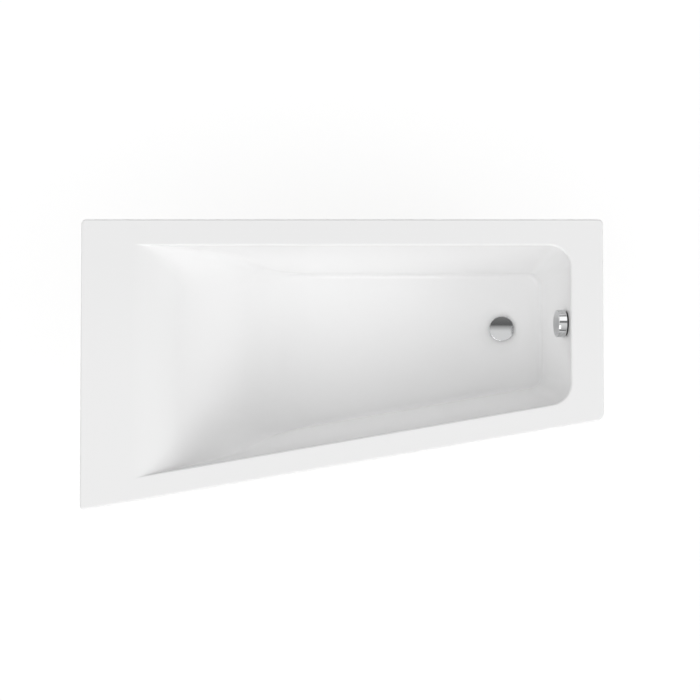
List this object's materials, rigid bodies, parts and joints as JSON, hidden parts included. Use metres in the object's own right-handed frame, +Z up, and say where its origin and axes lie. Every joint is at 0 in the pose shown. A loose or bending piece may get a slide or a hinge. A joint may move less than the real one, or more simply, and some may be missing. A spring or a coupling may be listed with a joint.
{
  "type": "asymmetric bathtub",
  "caption": "White asymmetric corner bathtub with one slanted side, a sloping backrest, a pop-up waste worked by a turning overflow knob, a trap, and levelling feet on rails.",
  "frame": {"origin": "on the floor, under the middle of the rim outline", "axes": "+X from the wide head end to the narrow foot end, +Y at the wall behind the straight side, +Z up"},
  "size_m": [1.6, 0.8878, 0.6],
  "materials": {
    "acrylic": "gloss white sanitary acrylic, glass-fibre laminate behind",
    "chipboard": "raw chipboard with cut edges",
    "batten_wood": "sawn softwood strip",
    "galvanised_steel": "hot-dip galvanised sheet",
    "zinc_steel": "bright zinc plate",
    "black_plastic": "moulded, fine grain",
    "chrome": "polished chrome plate",
    "rubber": "matt black",
    "white_plastic": "satin moulded polypropylene",
    "grey_plastic": "satin moulded plastic",
    "stainless": "turned stainless steel",
    "cable_black": "smooth black sheath",
    "brass": "turned brass"
  },
  "bodies": {
    "tub": {"tub_shell": "acrylic", "base_board": "chipboard", "rim_batten_front": "batten_wood", "rim_batten_foot": "batten_wood", "rim_batten_back": "batten_wood", "rim_batten_head": "batten_wood", "leg_rail_head": "galvanised_steel", "leg_rail_foot": "galvanised_steel", "rail_screws": "zinc_steel", "weld_nuts": "zinc_steel", "lock_nuts": "zinc_steel", "waste_flange": "chrome", "waste_flange_seal": "rubber", "waste_lower_seal": "rubber", "waste_body": "white_plastic", "trap_seal": "rubber", "trap_nut": "grey_plastic", "trap_bend": "white_plastic", "trap_cleaning_plug": "grey_plastic", "outlet_seal": "rubber", "outlet_nut": "grey_plastic", "outlet_pipe": "white_plastic", "overflow_body": "white_plastic", "overflow_seal": "rubber", "overflow_trim": "black_plastic", "overflow_screws": "stainless", "overflow_pipe": "white_plastic", "cable_sheath": "cable_black", "cable_clips": "grey_plastic"},
    "knob": {"overflow_knob": "chrome", "knob_spindle": "brass", "cable_cam": "grey_plastic"},
    "lifter": {"lift_pin": "stainless"},
    "plug": {"plug_cover": "chrome", "plug_stem": "white_plastic", "plug_seal": "rubber"},
    "foot_head_front": {"foot_rod_head_front": "zinc_steel", "foot_pad_head_front": "black_plastic"},
    "foot_head_back": {"foot_rod_head_back": "zinc_steel", "foot_pad_head_back": "black_plastic"},
    "foot_foot_front": {"foot_rod_foot_front": "zinc_steel", "foot_pad_foot_front": "black_plastic"},
    "foot_foot_back": {"foot_rod_foot_back": "zinc_steel", "foot_pad_foot_back": "black_plastic"}
  },
  "joints": [
    {"name": "knob_turn", "type": "hinge", "parent": "tub", "child": "knob", "pos_m": [0.69423, 0.12687, 0.535], "axis": [-0.9962, 0, 0.0872], "range_deg": [0, 120]},
    {"name": "plug_lift", "type": "slide", "parent": "tub", "child": "lifter", "axis": [0, 0, 1], "range_m": [0, 0.012]},
    {"name": "plug_pull", "type": "slide", "parent": "lifter", "child": "plug", "axis": [0, 0, 1], "range_m": [0, 0.09]},
    {"name": "level_head_front", "type": "slide", "parent": "tub", "child": "foot_head_front", "axis": [0, 0, -1], "range_m": [-0.025, 0.04]},
    {"name": "level_head_back", "type": "slide", "parent": "tub", "child": "foot_head_back", "axis": [0, 0, -1], "range_m": [-0.025, 0.04]},
    {"name": "level_foot_front", "type": "slide", "parent": "tub", "child": "foot_foot_front", "axis": [0, 0, -1], "range_m": [-0.025, 0.04]},
    {"name": "level_foot_back", "type": "slide", "parent": "tub", "child": "foot_foot_back", "axis": [0, 0, -1], "range_m": [-0.025, 0.04]}
  ],
  "couplings": [
    {"joint": "plug_lift", "follows": "knob_turn", "m_per_rad": 0.0057296}
  ]
}
